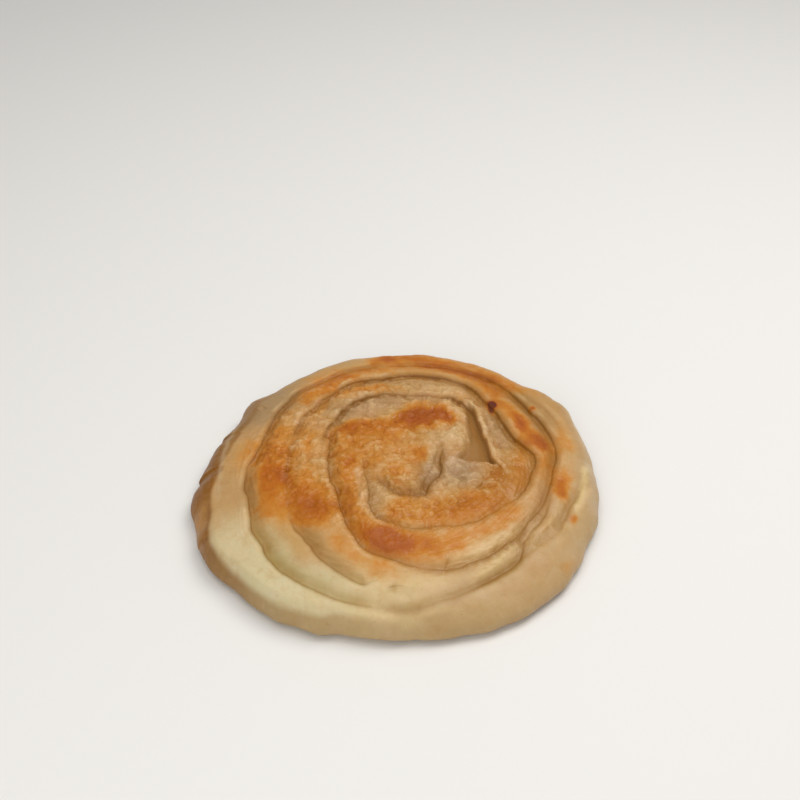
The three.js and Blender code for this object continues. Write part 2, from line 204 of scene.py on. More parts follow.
BROWNED = [
    (11, 28.4, 7.6, 6.4, 0, 1.5), (22.2, 29.6, 4.6, 5.6, 0, 1.5), (4, 23.5, 6, 4, 40, 0.55),
    (-25.9, 18, 4, 2.6, 20, 0.7), (-19.9, 21, 5, 3.6, -20, 0.75), (-14.9, 22.5, 4.5, 3.6, 0, 0.8),
    (-7, 18.6, 7, 4.4, -15, 0.8), (0, 21.6, 5, 4.2, 20, 0.75), (-7, 25.0, 3.5, 3, 0, 0.45), (-14, 34, 15, 5.5, 10, -0.9),
    (-15.9, 14.6, 9, 5.5, 0, 0.5), (-15.9, 5.8, 7, 3.4, 0, 0.65), (-20.9, -10.2, 4, 7.5, 0, 0.85),
    (-23.9, -4.2, 3, 3.2, 0, 0.7), (-18.9, -27.1, 3.8, 6, 0, 0.6), (-21.9, -18.1, 4, 5, 0, 0.45),
    (-26.9, 8.6, 3, 10, 0, 0.35), (-6, -50.2, 8.5, 5.2, -16, 1.3), (2.5, -53, 7, 4.8, -10, 1.15),
    (-12, -43.2, 8, 4, -40, 0.6), (-19.9, -40.2, 4, 8, 20, 0.55), (-56.8, -14.5, 5.5, 17, 0, 0.75),
    (-49.8, -11.4, 3.8, 5.5, 0, 0.95), (-54.8, -23.5, 3.6, 6, 0, 0.85), (-58.8, -7.7, 3.4, 5, 0, 0.8),
    (-51.8, 2.4, 3.5, 10, -5, 0.42), (-54.8, -33, 8, 10, -20, 0.24), (-36.9, -31.2, 8, 8, -40, 0.7),
    (-38.9, -30, 8, 8, -40, 0.45), (66, 66, 8, 4, -45, 0.5), (-72, 12, 5, 10, 0, 0.22), (-32.9, -38.2, 4.4, 4.4, 0, 0.8), (-42.9, -20.3, 6, 8, 0, 0.45), (-43.5, -8, 3, 7, 0, -0.4), (-26, 36, 8, 5, 30, -0.2),
    (-31.9, -25.2, 4, 9, -20, 0.55), (-8, -63.3, 7.5, 4, -10, 0.6), (-18.9, -57.3, 7, 4, -50, 0.4),
    (-5, -69.4, 6, 4, 0, 0.35), (-25.9, -50.3, 4, 8, 25, 0.3), (-27.5, 66.6, 7.5, 4.8, -25, 1.15),
    (-35.8, 60.2, 7, 4.8, -45, 1.05), (-41.3, 52.9, 6, 4, -55, 0.7), (-45.8, 46.2, 4.5, 3.6, -60, 0.5),
    (-10.5, 71.6, 5, 3, 0, 0.95), (-18.9, 73.8, 4, 2.4, 0, 0.35), (-35.8, 36.1, 5, 5.4, 0, 0.55),
    (-11.9, 52.8, 7.5, 3, 5, 0.6), (-23.9, 48.8, 5, 4, -40, 0.35), (-1, 53.8, 7, 3, 0, 0.35),
    (-3.9, 84, 4.6, 5, 0, 0.9), (8, 86, 9, 6, 0, 0.8), (-11.9, 81.8, 5, 3, 0, 0.45),
    (19.9, 76.7, 6, 3.4, -5, 0.85), (27.8, 75.6, 6, 4, -10, 0.6), (9, 75.8, 9, 4, 0, 0.45),
    (13.9, 82.7, 9, 3.4, 0, 0.6), (20, 89, 12, 4, -10, 0.6), (38, 84, 8, 4, -28, 0.6), (25.8, 80.2, 8, 3.4, -15, 0.65), (36.8, 73.1, 8, 5, -25, 0.6),
    (44.7, 66.4, 7, 5.5, -45, 0.6), (48.7, 58.3, 6, 7, 0, 0.5), (50.8, 49.5, 5.5, 8, 20, 0.5),
    (32.8, 68.9, 6, 3, -20, 0.4), (43.2, 71.7, 9, 4, -25, 0.6), (56, 64, 9, 4, -38, 0.62),
    (67, 57.2, 7, 3.4, -48, 0.35), (34.8, 69.7, 8, 3.4, -18, 0.75), (49.8, 57.2, 7, 2.8, -32, 0.75),
    (55.7, 38.7, 4, 8, 25, 0.62), (60.2, 29.5, 3, 5, 25, 1.1), (63.7, 21.9, 4.4, 6, 38, 0.85),
    (69.7, 14.9, 4.4, 4.6, 35, 1.0), (65.7, 16.9, 5, 5, 35, 0.7), (71.7, 8, 4, 6, 0, 0.5),
    (72.6, 24.7, 3, 5, 10, 0.3), (69.7, 0.1, 4, 8, 0, 0.45), (47.2, 40.6, 2.2, 3.2, 0, 2.6),
    (67.2, 41, 1.5, 1.6, 0, 0.9), (77.6, -8, 3.2, 7, 8, 0.6), (75.4, -14.5, 3.2, 6, 8, 1.1),
    (74.2, -11.9, 2, 9, 8, 0.5), (78.4, -32.3, 1.4, 2.2, -20, 0.55), (80.1, 25.5, 3, 8, 0, 0.35),
    (79.1, 11.7, 3, 8, 0, 0.5), (82.6, 15.6, 3, 12, 0, 0.3), (51.8, -35.4, 5, 3.6, 45, 0.7),
    (43.9, -42.4, 7, 3, 35, 0.5), (35.9, -45.3, 7, 3, 20, 0.4), (12, -38.2, 9, 5, 0, 0.55),
    (23.9, -36.2, 9, 6, 0, 0.62), (35.9, -31.3, 8, 7, 30, 0.66), (44.9, -24.4, 7, 8, 50, 0.62),
    (52.8, -14.5, 6, 9, 20, 0.52), (56.8, -4.6, 5, 8, 0, 0.42), (57.8, 3.3, 4, 5, 0, 0.4),
    (46.9, -10.4, 4, 6, 0, 0.45), (12, -53.3, 7, 4.4, 0, 0.72), (20.9, -51.2, 7, 5, 10, 0.62),
    (28.9, -49.2, 6, 4, 20, 0.5), (10, -59.3, 8, 3.4, 0, 0.55), (17.9, -58.3, 6, 4, 10, 0.5),
    (25.9, -56.3, 5, 4, 20, 0.35), (12.5, -0.7, 2.6, 3, 0, 0.75), (1, -15.1, 4, 4, 0, 0.65),
    (0, -4.1, 12, 11, 0, 0.26), (-10, 4.8, 12, 10, 0, 0.3), (3, -31.1, 6, 6, 0, 0.3),
    (1, -37.1, 5, 3, 0, 0.5), (-65.7, 10.1, 6, 11, 0, 0.34), (-67.7, 1.1, 5, 8, 0, 0.25),
    (-44.8, 4.5, 5, 12, 0, 0.26), (-40.8, 15.4, 4.5, 8, 0, 0.34), (-55.8, 14.2, 5, 12, 0, 0.34),
    (-59.8, 6.2, 4, 7, 0, 0.45), (-53.8, 30, 4, 9, -10, 0.3), (-45.8, -29.3, 8, 8, 0, 0.5),
    (-40.9, -9.3, 5, 8, 0, 0.45), (3, 38.2, 6, 7, 0, 0.25), (14, 39.2, 5, 4, 0, 0.22),
    (76.5, -56.4, 4, 2, 42, 0.4), (-87.3, -29.1, 3, 8, 0, 0.35), (8, 10.7, 8, 6, 0, 0.2),
]

# ---- noise ------------------------------------------------------------------------
def _hash(ix, iy, seed):
    h = ix.astype(np.int64).astype(np.uint32) * np.uint32(374761393)
    h = h + iy.astype(np.int64).astype(np.uint32) * np.uint32(668265263)
    h = h + np.uint32((seed * 2654435761) % 4294967296)
    h = (h ^ (h >> np.uint32(13))) * np.uint32(1274126177)
    h = (h ^ (h >> np.uint32(16))) * np.uint32(2246822519)
    h = h ^ (h >> np.uint32(15))
    return h.astype(np.float64) / 4294967296.0


def noise(x, y, scale, seed):
    """Gradient noise, about -1 to 1, with features about scale wide."""
    u, v = x / scale, y / scale
    iu, iv = np.floor(u), np.floor(v)
    fu, fv = u - iu, v - iv
    su, sv = fu**3 * (fu * (fu * 6 - 15) + 10), fv**3 * (fv * (fv * 6 - 15) + 10)
    corner = []
    for dx in (0, 1):
        for dy in (0, 1):
            a = _hash(iu + dx, iv + dy, seed) * (2 * math.pi)
            corner.append(np.cos(a) * (fu - dx) + np.sin(a) * (fv - dy))
    low = corner[0] * (1 - su) + corner[2] * su
    high = corner[1] * (1 - su) + corner[3] * su
    return (low * (1 - sv) + high * sv) * 1.5


def fractal(x, y, scale, seed, octaves=4, rough=0.5):
    total, weight = 0.0, 1.0
    for k in range(octaves):
        total = total + weight * noise(x, y, scale / 2**k, seed + 17 * k)
        weight *= rough
    return total


def cells(x, y, scale, seed):
    """Distance to the nearest and second nearest of jittered points, in cell widths."""
    u, v = x / scale, y / scale
    iu, iv = np.floor(u), np.floor(v)
    first = np.full(x.shape, 9.0)
    second = np.full(x.shape, 9.0)
    for dx in (-1, 0, 1):
        for dy in (-1, 0, 1):
            cu, cv = iu + dx, iv + dy
            px = cu + 0.15 + 0.7 * _hash(cu, cv, seed)
            py = cv + 0.15 + 0.7 * _hash(cu, cv, seed + 1)
            d = np.hypot(u - px, v - py)
            second = np.minimum(second, np.maximum(first, d))
            first = np.minimum(first, d)
    return first, second


def smooth(v):
    t = np.clip(v, 0.0, 1.0)
    return t * t * (3 - 2 * t)


def mix(a, b, t):
    return a + (b - a) * t


# ---- seams ------------------------------------------------------------------------
def traced(points, step=0.9):
    """A smooth curve through a seam's points, evenly spaced: x, y, depth and the way along."""
    p = np.array(points, float)
    p = np.vstack([2 * p[0] - p[1], p, 2 * p[-1] - p[-2]])
    rows = []
    for i in range(1, len(p) - 2):
        n = max(2, int(np.hypot(*(p[i + 1] - p[i])[:2]) / 0.3))
        t = (np.arange(n) / n)[:, None]
        a, b, c, d = p[i - 1], p[i], p[i + 1], p[i + 2]
        rows.append(0.5 * (2 * b + (c - a) * t + (2 * a - 5 * b + 4 * c - d) * t * t + (3 * b - a - 3 * c + d) * t**3))
    p = np.vstack([*rows, p[-2:-1]])
    way = np.concatenate([[0], np.cumsum(np.hypot(*np.diff(p[:, :2], axis=0).T))])
    even = np.arange(0, way[-1], step)
    return np.stack([np.interp(even, way, p[:, k]) for k in range(3)] + [even], -1)


def seam_sections(name, length=110.0, overlap=14.0):
    """The seam cut into overlapping stretches, so that each stays clear of its next turn."""
    p = traced(SEAMS[name])
    total = p[-1, 3]
    count = max(1, int(round(total / length)))
    edges = np.linspace(0, total, count + 1)
    for k in range(count):
        low = edges[k] - (overlap / 2 if k else 0)
        high = edges[k + 1] + (overlap / 2 if k < count - 1 else 0)
        keep = (p[:, 3] >= low) & (p[:, 3] <= high)
        q = p[keep]
        weight = np.ones(len(q))
        if k:
            weight *= np.clip((q[:, 3] - q[0, 3]) / overlap, 0, 1)
        if k < count - 1:
            weight *= np.clip((q[-1, 3] - q[:, 3]) / overlap, 0, 1)
        yield q, weight


def beside(q, weight, x, y, reach):
    """Signed distance to a stretch (positive on its inner side, the right of its run), with its depth,
    weight, way along and inward direction there, for the plan points within reach. Their indices come first."""
    near = np.nonzero(
        (x > q[:, 0].min() - reach) & (x < q[:, 0].max() + reach)
        & (y > q[:, 1].min() - reach) & (y < q[:, 1].max() + reach)
    )[0]
    best = np.full(len(near), reach * 1.0)
    out = np.zeros((6, len(near)))
    px, py = x[near], y[near]
    block = 10
    for i in range(0, len(q) - 1, block):
        s = q[i : i + block + 1]
        w = weight[i : i + block + 1]
        hit = np.nonzero(
            (px > s[:, 0].min() - reach) & (px < s[:, 0].max() + reach)
            & (py > s[:, 1].min() - reach) & (py < s[:, 1].max() + reach)
        )[0]
        if not len(hit):
            continue
        hx, hy = px[hit, None], py[hit, None]
        ax, ay = s[:-1, 0], s[:-1, 1]
        dx, dy = s[1:, 0] - ax, s[1:, 1] - ay
        t = np.clip(((hx - ax) * dx + (hy - ay) * dy) / (dx * dx + dy * dy + 1e-12), 0, 1)
        ex, ey = hx - ax - t * dx, hy - ay - t * dy
        d = np.hypot(ex, ey)
        k = np.argmin(d, 1)
        rows = np.arange(len(hit))
        dk = d[rows, k]
        closer = dk < best[hit]
        rows, k, dk, hit = rows[closer], k[closer], dk[closer], hit[closer]
        tk = t[rows, k]
        side = -np.sign(dx[k] * ey[rows, k] - dy[k] * ex[rows, k])
        long = np.hypot(dx[k], dy[k]) + 1e-9
        best[hit] = dk
        out[0, hit] = side * dk
        out[1, hit] = mix(s[k, 2], s[k + 1, 2], tk)
        out[2, hit] = mix(w[k], w[k + 1], tk)
        out[3, hit] = mix(s[k, 3], s[k + 1, 3], tk)
        out[4, hit], out[5, hit] = dy[k] / long, -dx[k] / long
    found = best < reach
    return near[found], out[:, found]


# ---- the bread's surface ------------------------------------------------------------
SECTORS = 1280
DOME_RINGS = 250
EDGE_ROWS = 30
BASE_RINGS = 60
DEPTH = 0.52  # share of the traced drops that the top keeps


def outline(a):
    n = len(OUTLINE)
    table = np.array(OUTLINE)
    u = (a / (2 * math.pi)) % 1.0 * n
    i = np.floor(u).astype(int)
    t = u - i
    p = [table[(i + k) % n] for k in (-1, 0, 1, 2)]
    r = 0.5 * (2 * p[1] + (p[2] - p[0]) * t + (2 * p[0] - 5 * p[1] + 4 * p[2] - p[3]) * t * t
               + (3 * p[1] - p[0] - 3 * p[2] + p[3]) * t**3)
    deg = np.degrees(a) % 360
    # The ends of thin outer layers stand out as small steps on the left.
    for at, size, wide in ((161.0, 1.1, 7.0), (178.6, 1.3, 6.0), (143.6, 0.7, 5.0), (205.0, 0.5, 6.0), (33.0, 0.5, 6.0)):
        back = at - deg
        r = r + size * (np.clip(1 - back / wide, 0, 1) * smooth(back / 0.5 + 0.5) - 0.4 * np.exp(-(((deg - at - 2.0) / 2.4) ** 2)))
    return r + 0.05 * noise(deg / 1.7, 0 * deg + 3.3, 1.0, 5) * smooth((170 - np.abs(deg - 180)) / 20)


def table_at(a, rows):
    """A value given at a few angles, read smoothly between them."""
    deg = np.degrees(a) % 360
    at = np.array([r[0] for r in rows] + [rows[0][0] + 360.0])
    value = np.array([r[1] for r in rows] + [rows[0][1]])
    i = np.clip(np.searchsorted(at, deg, side="right") - 1, 0, len(at) - 2)
    return mix(value[i], value[i + 1], smooth((deg - at[i]) / (at[i + 1] - at[i])))


def edge_width(a):
    """The share of the radius that the rounded edge takes."""
    return table_at(a, [(0, 0.10), (30, 0.10), (90, 0.10), (140, 0.10), (160, 0.115), (180, 0.125), (198, 0.105), (216, 0.06),
                        (236, 0.06), (255, 0.075), (275, 0.10), (300, 0.17), (330, 0.16), (348, 0.12)])


def edge_power(a):
    """2 is a round edge, near 1 a sloping wall under a ridge."""
    return table_at(a, [(0, 2.0), (60, 2.1), (120, 2.2), (168, 2.0), (185, 1.6), (200, 1.5), (220, 1.55), (245, 1.65), (275, 1.9), (300, 2.0)])


def turned(x, y, wide, across, seed):
    """Noise drawn out along the winding."""
    r = np.hypot(x, y) + 1.4 * noise(x, y, 22, seed + 5)
    a = np.arctan2(y, x)
    one = noise(a * 55 / wide, r / across, 1.0, seed)
    b = np.arctan2(y, -x)
    two = noise(b * 55 / wide, r / across, 1.0, seed + 9)
    t = smooth((np.abs(a) - 1.2) / 0.8)
    return mix(one, two, t)


def across_gap(x, y):
    """The gap: 0 outside, 1 on its floor. It falls gently from the left and stands steep on the right."""
    rows = np.array(GAP)
    ragged = 0.7 * noise(x, y, 5.5, 77)
    left = np.interp(y, rows[:, 0], rows[:, 1]) + ragged
    right = np.interp(y, rows[:, 0], rows[:, 2])
    ends = smooth((y + 3.4 + 0.5 * ragged) / 3.4) * smooth((45.5 - y) / 5)
    return smooth((x - left + 1.0) / 4.4) * smooth((right + 0.45 - x) / 0.9) * ends, right - x


def off_line(points, x, y):
    """Distance from a line of points, and how far along it the nearest place is, 0 to 1."""
    p = np.array(points, float)
    best, where = np.full(x.shape, 1e9), np.zeros(x.shape)
    count = len(p) - 1
    for i in range(count):
        dx, dy = p[i + 1] - p[i]
        t = np.clip(((x - p[i, 0]) * dx + (y - p[i, 1]) * dy) / (dx * dx + dy * dy), 0, 1)
        d = np.hypot(x - p[i, 0] - t * dx, y - p[i, 1] - t * dy)
        near = d < best
        best, where = np.where(near, d, best), np.where(near, (i + t) / count, where)
    return best, where


def streak(points, wide, x, y):
    """How much of a streak lies at each place: full along its middle, tapering to its ends."""
    lean = 0.6 * noise(x, y, 7, 131)
    d, where = off_line(points, x + lean, y - lean)
    ragged = wide * (1 + 0.35 * noise(x, y, 4.0, 133))
    return np.exp(-((d / ragged) ** 2)) * smooth(where * 3.5) * smooth((1 - where) * 3.5)


# Where the dough stayed pale: x, y, half widths, turn, and how much of the gold it loses.
PALE = [
    (25, 22, 10, 20, 0, 0.85), (31, -12, 13, 11, 0, 1.0), (10, 57, 34, 6, 0, 0.65), (49, 22, 6, 20, 12, 0.9),
    (28, -54, 17, 6, 22, 0.9), (16, -9, 5, 15, -16, 1.0), (-36, -2, 4, 22, 4, 0.5), (-8, -28, 6, 10, 0, 0.8),
    (-12, 40, 24, 6.5, 14, 1.0), (-13, 32, 14, 7, 8, 0.9), (4, 43, 18, 4, 0, 1.0), (-43, -8, 4, 9, 0, 0.7), (-26, 32, 6, 8, 30, 0.8), (2, 8, 12, 14, 0, 0.3), (-30, -62, 26, 9, -38, 0.7), (-50, 40, 6, 18, -20, 0.3),
]
# The darkest spots, on the same terms, with their strength.
SCORCHED = [
    (-3.5, -51.5, 11.5, 5.6, -12, 0.50), (11.5, 28.6, 9.5, 6.6, 0, 0.46), (-38, -31, 8, 8, -30, 0.16), (-50.5, -11, 3.6, 5.5, 0, 0.2), (-57, -10, 4.2, 10, 0, 0.16), (22.6, 30, 5.0, 5.8, 0, 0.40), (59.8, 30, 3.4, 6.4, 22, 0.26),
    (69.2, 14.6, 5, 5, 30, 0.26), (-3.8, 83.5, 3.6, 4, 0, 0.22),
    (75.5, -14, 3.0, 6, 8, 0.22),
    (78.4, -32.3, 1.3, 2.0, -20, 0.05), (-21, 20, 5, 2.2, 10, 0.14), (21, 77, 6, 2.6, -5, 0.16), (-27, 67, 6, 3.4, -25, 0.12),
    (56, 61, 8, 2.6, -38, 0.22), (36, 71, 9, 2.6, -20, 0.16),
]
# Small charred spots.
SPOTS = [(47.2, 40.6, 2.2, 3.2, 0, 1.5), (67.2, 41, 1.4, 1.4, 0, 0.5), (78.4, -32.3, 1.3, 2.0, -20, 0.25)]


def browning(x, y):
    """How far the griddle has browned the top: 0 is pale dough, 1 deep brown."""
    wx = x + 1.5 * fractal(x, y, 12, 301, 2, 0.5)
    wy = y + 1.5 * fractal(x, y, 12, 331, 2, 0.5)
    total = np.zeros(x.shape)
    for bx, by, rx, ry, turn, strength in BROWNED:
        c, s = math.cos(math.radians(turn)), math.sin(math.radians(turn))
        near = np.nonzero(np.hypot(wx - bx, wy - by) < 2.4 * max(rx, ry))[0]
        u = (wx[near] - bx) * c + (wy[near] - by) * s
        v = -(wx[near] - bx) * s + (wy[near] - by) * c
        q = (u / rx) ** 2 + (v / ry) ** 2
        total[near] += 0.90 * strength * np.exp(-0.62 * q)
    total = 0.84 * (1 - np.exp(-np.maximum(total, 0) / 0.75))
    # A broad gold over the inner turns, thin where the dough stayed pale.
    r, a = np.hypot(wx, wy), np.arctan2(wy, wx)
    reach = table_at(a, [(0, 76), (30, 78), (60, 88), (90, 94), (112, 84), (135, 72), (180, 70), (200, 66), (222, 58), (245, 50), (262, 52), (285, 50), (305, 56), (330, 66)])
    gold = 0.24 * smooth((reach - r) / 12)
    for cx, cy, rx, ry, turn, much in PALE:
        c, s = math.cos(math.radians(turn)), math.sin(math.radians(turn))
        u = (wx - cx) * c + (wy - cy) * s
        v = -(wx - cx) * s + (wy - cy) * c
        gold *= 1 - much * np.exp(-(((u / rx) ** 2 + (v / ry) ** 2) ** 1.2))
    total = np.minimum(total + gold * (1 - 0.6 * total), 0.86)
    for index, (bx, by, rx, ry, turn, strength) in enumerate(SCORCHED + SPOTS):
        if index == len(SCORCHED):
            total = np.minimum(total, 1.12)
        c, s = math.cos(math.radians(turn)), math.sin(math.radians(turn))
        u = (wx - bx) * c + (wy - by) * s
        v = -(wx - bx) * s + (wy - by) * c
        total += strength * np.exp(-((0.8 * ((u / rx) ** 2 + (v / ry) ** 2)) ** 1.7))
    return np.minimum(total, 1.8)


# How wide the shaded side of a seam is, by angle.
SHADE = [
    (0, 5.0), (15, 6.4), (45, 6.0), (70, 4.8), (90, 5.0), (120, 4.4), (150, 5.2), (180, 6.5), (200, 8.0),
    (235, 8.0), (258, 5.5), (285, 3.4), (315, 3.0), (345, 3.8),
]


# How far before a seam the outer turn begins to roll over, by angle.
ROLL = [
    (0, 2.2), (45, 1.9), (70, 1.8), (90, 1.7), (120, 1.0), (150, 1.0), (180, 1.0), (235, 0.9), (262, 1.2), (285, 2.2), (315, 1.8), (345, 2.2),
]


# How far out the top is lumpy and blistered, by angle; beyond, the dough is smooth.
LUMPY = [(0, 65), (30, 68), (60, 75), (150, 77), (172, 73), (200, 66), (222, 59), (260, 58), (300, 57), (330, 60)]

# How much of the lip's height and rounding stands beside a seam, by angle.
FLAT = [(0, 0.7), (30, 0.5), (65, 0.4), (90, 0.4), (120, 0.45), (150, 0.6), (180, 0.75), (262, 0.9), (300, 0.8), (345, 0.75)]


def shape(x, y, ex, ey, share, a):
    """Relief along the surface's normal, sideways shift (x, y) and the masks, at points of the top. The
    seams go by the plan, and the noises by ex, ey, where the edge is rolled out flat."""
    height = np.zeros(x.shape)
    push = np.zeros((2, len(x)))
    crease_shade = np.zeros(x.shape)
    seam_shade = np.zeros(x.shape)
    lip_highlight_mask = np.zeros(x.shape)
    radius = np.hypot(x, y)
    inner = smooth((table_at(a, LUMPY) - radius) / 20)
    inner = np.maximum(inner, 0.7 * np.exp(-((((x - 50) * 0.743 - (y + 51) * -0.669) / 16) ** 2 + (((x - 50) * 0.669 + (y + 51) * -0.743) / 5) ** 2)))
    brown = browning(x, y)

    wobble = (0.18 + 0.14 * smooth((78 - radius) / 20)) * fractal(x, y, 5.5, 41, 2, 0.5)
    strip = noise(x, y, 9.0, 71)
    for name in SEAMS:
        soft = name in ("front1", "front2", "side1", "fold", "pleat1", "pleat2")
        for q, weight in seam_sections(name):
            at, (d, k, w, way, nx, ny) = beside(q, weight, x, y, 15.0)
            ends = smooth((way - q[0, 3] + 0.0) / 5.0) if len(q) else 1.0
            d = d + wobble[at] * (0.5 if soft else 1.0)
            k = k * DEPTH
            wide = table_at(np.arctan2(y[at], x[at]), SHADE) * np.where(radius[at] > 52, 1.0, 0.72)
            ahead = table_at(np.arctan2(y[at], x[at]), ROLL)
            if name == "knob":
                wide = mix(7.5, 3.2, smooth((x[at] - 10) / 8))
                ahead = np.full(len(at), 2.0)
            right = smooth((x[at] - 33) / 3) * smooth((46 - y[at]) / 4) if name == "pit" else 0.0
            ahead = mix(ahead, 0.6, right)
            a0 = (1.6 if soft else 0.9 if name.startswith("nick") else 1.2) + 0.30 * k
            u = np.maximum(d, 0) / a0
            drop = u * np.exp(1 - u) * smooth((15.0 - d) / 4)
            flat = table_at(np.arctan2(y[at], x[at]), FLAT)
            lip_high = (0.12 + 0.16 * k) * (0.4 if soft else 1.0) * flat
            lip = np.where(d < 0, np.exp(-((np.maximum(-d, 0) / (4.2 + 0.8 * k)) ** 1.9)), 1 - smooth(d / (1.6 * a0)))
            worn = (0.18 + 0.30 * k) * flat * np.exp(-((np.abs(d) / (0.5 + 0.6 * ahead)) ** 1.5))
            thin = np.exp(-(((d + 2.6 + 0.6 * strip[at]) / 0.34) ** 2)) + 0.7 * np.exp(-(((d + 4.2 + 0.8 * strip[at]) / 0.36) ** 2))
            thin = thin * smooth(strip[at] * 2.2 + 0.3) * (0.0 if soft else 0.11)
            round_up = 0.36 * k * flat * np.exp(-(((d - 5.6 - 0.6 * k) / 3.0) ** 2))
            height[at] += w * (lip_high * lip - worn - k * drop - thin * np.minimum(k, 1.5) + round_up)
            slope = 0.34 * np.minimum(k, 2.2) * (0.3 if soft else 1.0)
            shift = w * slope * np.exp(-(((d + 0.1) / 0.8) ** 2))
            push[0, at] += shift * nx
            push[1, at] += shift * ny
            strength = np.minimum(k / 1.1, 1.15)
            if name == "pit":
                strength = strength * (1 - 0.55 * np.exp(-((((x[at] - 12) / 17) ** 2) ** 2)) * smooth((y[at] - 30) / 10)) * (1 - 0.45 * right)
            # Masks for painted shade: a thin dark line along the seam and a soft band that spreads mostly over its
            # inner side.
            line = np.exp(-(((d - 0.5) / (0.8 + 0.12 * k)) ** 2))
            seam_shade_spread = np.where(d < 0.4, np.exp(-(((d - 0.4) / ahead) ** 2)), np.exp(-((np.maximum(d - 0.4, 0) / (0.95 * wide)) ** 2.2)))
            crease_shade[at] = np.maximum(crease_shade[at], w * strength * line)
            seam_shade[at] = np.maximum(seam_shade[at], w * strength * seam_shade_spread * (0.6 if soft else 1.0))
            # Painted highlight: a pale line along the crisp lip on the outer side of the seam, three times as strong
            # on the ridge and strong on the gap's right edge.
            pale = 3.0 if name == "ridge" else 1.0
            highlight_strength = 1.2 * smooth(0.35 + 1.2 * strip[at]) + 1.2 * right
            lip_highlight_mask[at] = np.maximum(lip_highlight_mask[at], w * pale * highlight_strength * np.minimum(k / 1.3, 1) * np.exp(-(((d + 0.7 + 0.8 * ahead) / (0.5 + 0.35 * ahead)) ** 2)))

    fade = smooth((0.995 - share) / 0.03)
    height *= fade
    push *= fade
    floor, to_right = across_gap(x, y)
    height -= 2.5 * floor
    # Painted shade: a dark line along the foot of the gap's steep right side.
    crease_shade = np.maximum(crease_shade, 0.9 * floor * np.exp(-(((to_right - 0.9) / 1.3) ** 2)))
    # Pale ridges stand a little proud, shaded bands lie low.
    lumpy = 1 + 0.7 * noise(ex, ey, 4.6, 137)
    bared = np.zeros(x.shape)
    for points, wide, rise, _, amount in STREAKS:
        much = streak(points, wide, x, y)
        height += rise * lumpy * much * fade
        bared = np.maximum(bared, much * (rise > 0))
    brown = brown * (1 - 0.6 * bared)

    # Slow swell of the turns, lumps, blisters and the fine pull of the dough along the winding.
    mid = 1 - floor
    height += 0.62 * noise(ex, ey, 31, 11) + 0.42 * noise(ex, ey, 15, 12)
    lumps = fractal(ex + 2 * noise(ex, ey, 9, 95), ey + 2 * noise(ex, ey, 9, 96), 7.0, 21, 3, 0.6)
    knob_band = np.exp(-(((((x - 15) * 0.96 + (y + 8) * 0.28) / 6.0) ** 2 + ((y + 8) / 17) ** 2) ** 2))
    calm = inner * (1 - 0.65 * knob_band)
    height += mid * (0.15 + 0.54 * calm) * lumps
    ridged = 1 - np.abs(fractal(ex + 1.8 * noise(ex, ey, 7, 91), ey + 1.8 * noise(ex, ey, 7, 92), 6.4, 31, 2, 0.5))
    folds = np.clip(ridged, 0, 1) ** 5
    height -= mid * (0.03 + 0.32 * calm + 0.06 * np.minimum(brown, 1)) * folds
    wx, wy = ex + 1.2 * noise(ex, ey, 5, 97), ey + 1.2 * noise(ex, ey, 5, 98)
    first, _ = cells(wx, wy, 4.9, 69)
    swell = smooth(1 - first / 0.72) * smooth(noise(ex, ey, 13, 63) * 1.3 + 0.65)
    height += mid * (0.03 + 0.46 * calm) * swell
    first, _ = cells(ex + 0.7 * noise(ex, ey, 3, 93), ey + 0.7 * noise(ex, ey, 3, 94), 3.1, 61)
    blister = smooth(1 - first / 0.66) * smooth(noise(ex, ey, 8.5, 62) * 1.5 + 0.5)
    height += mid * (0.03 + 0.28 * calm + 0.08 * np.minimum(brown, 1)) * blister
    first, _ = cells(ex, ey, 1.35, 66)
    bead = smooth(1 - first / 0.6)
    height += mid * (0.012 + 0.05 * inner + 0.03 * np.minimum(brown, 1)) * bead
    # The pale dough beside the gap is lumpy, and below the gap it lies in fine waves.
    rumple = np.exp(-((((x - 26) / 10) ** 2 + ((y - 24) / 21) ** 2) ** 1.5))
    u, v = 0.97 * (x + 14) + 0.24 * (y - 39), -0.24 * (x + 14) + 0.97 * (y - 39)
    rumple = np.maximum(rumple, 0.6 * np.exp(-(((u / 18) ** 2 + (v / 6.5) ** 2) ** 1.5)))
    rumples = rumple * fractal(ex, ey, 7.5, 81, 2, 0.5)
    height += mid * 1.7 * rumples
    u, v = 0.90 * ex + 0.43 * ey, -0.43 * ex + 0.90 * ey
    wave = np.exp(-((((x - 31) / 13) ** 2 + ((y + 12) / 12) ** 2) ** 1.5))
    waves = wave * noise(u / 12.0, (v + 0.05 * u * u / 10) / 3.0, 1.0, 83)
    height += mid * 0.42 * waves
    strands = knob_band * noise((ex + 0.30 * ey) / 2.6, ey / 14.0, 1.0, 85)
    height += mid * 0.34 * strands
    pull = turned(ex, ey, 16, 1.6, 51) + 0.6 * turned(ex, ey, 9, 0.9, 55)
    pull_fade = smooth((radius - 26) / 18) * smooth((97 - radius) / 10)
    height += mid * pull_fade * (0.07 + 0.10 * smooth((80 - radius) / 14)) * pull
    layers = np.exp(-((((x - 49) / 6.5) ** 2 + ((y - 22) / 17) ** 2) ** 1.5))
    height += layers * 0.30 * noise((ex + 0.22 * ey) / 1.0, ey / 14.0, 1.6, 57)
    hill = 0.8 * lumps + 0.9 * swell + 0.6 * blister - 0.7 * folds + 0.2 * bead + 2.4 * rumples + 1.3 * waves + 0.9 * strands - 0.25
    hill = 0.5 + 0.5 * np.clip(hill, -1, 1) * (1 - 0.5 * smooth((brown - 0.8) / 0.3))
    return height, push, {"brown": brown, "crease_shade": np.clip(crease_shade, 0, 1.3), "seam_shade": np.clip(seam_shade, 0, 1.3), "lip": lip_highlight_mask, "gap": floor,
                          "blister": blister, "inner": inner, "pull": pull, "layers": layers, "hill": hill}


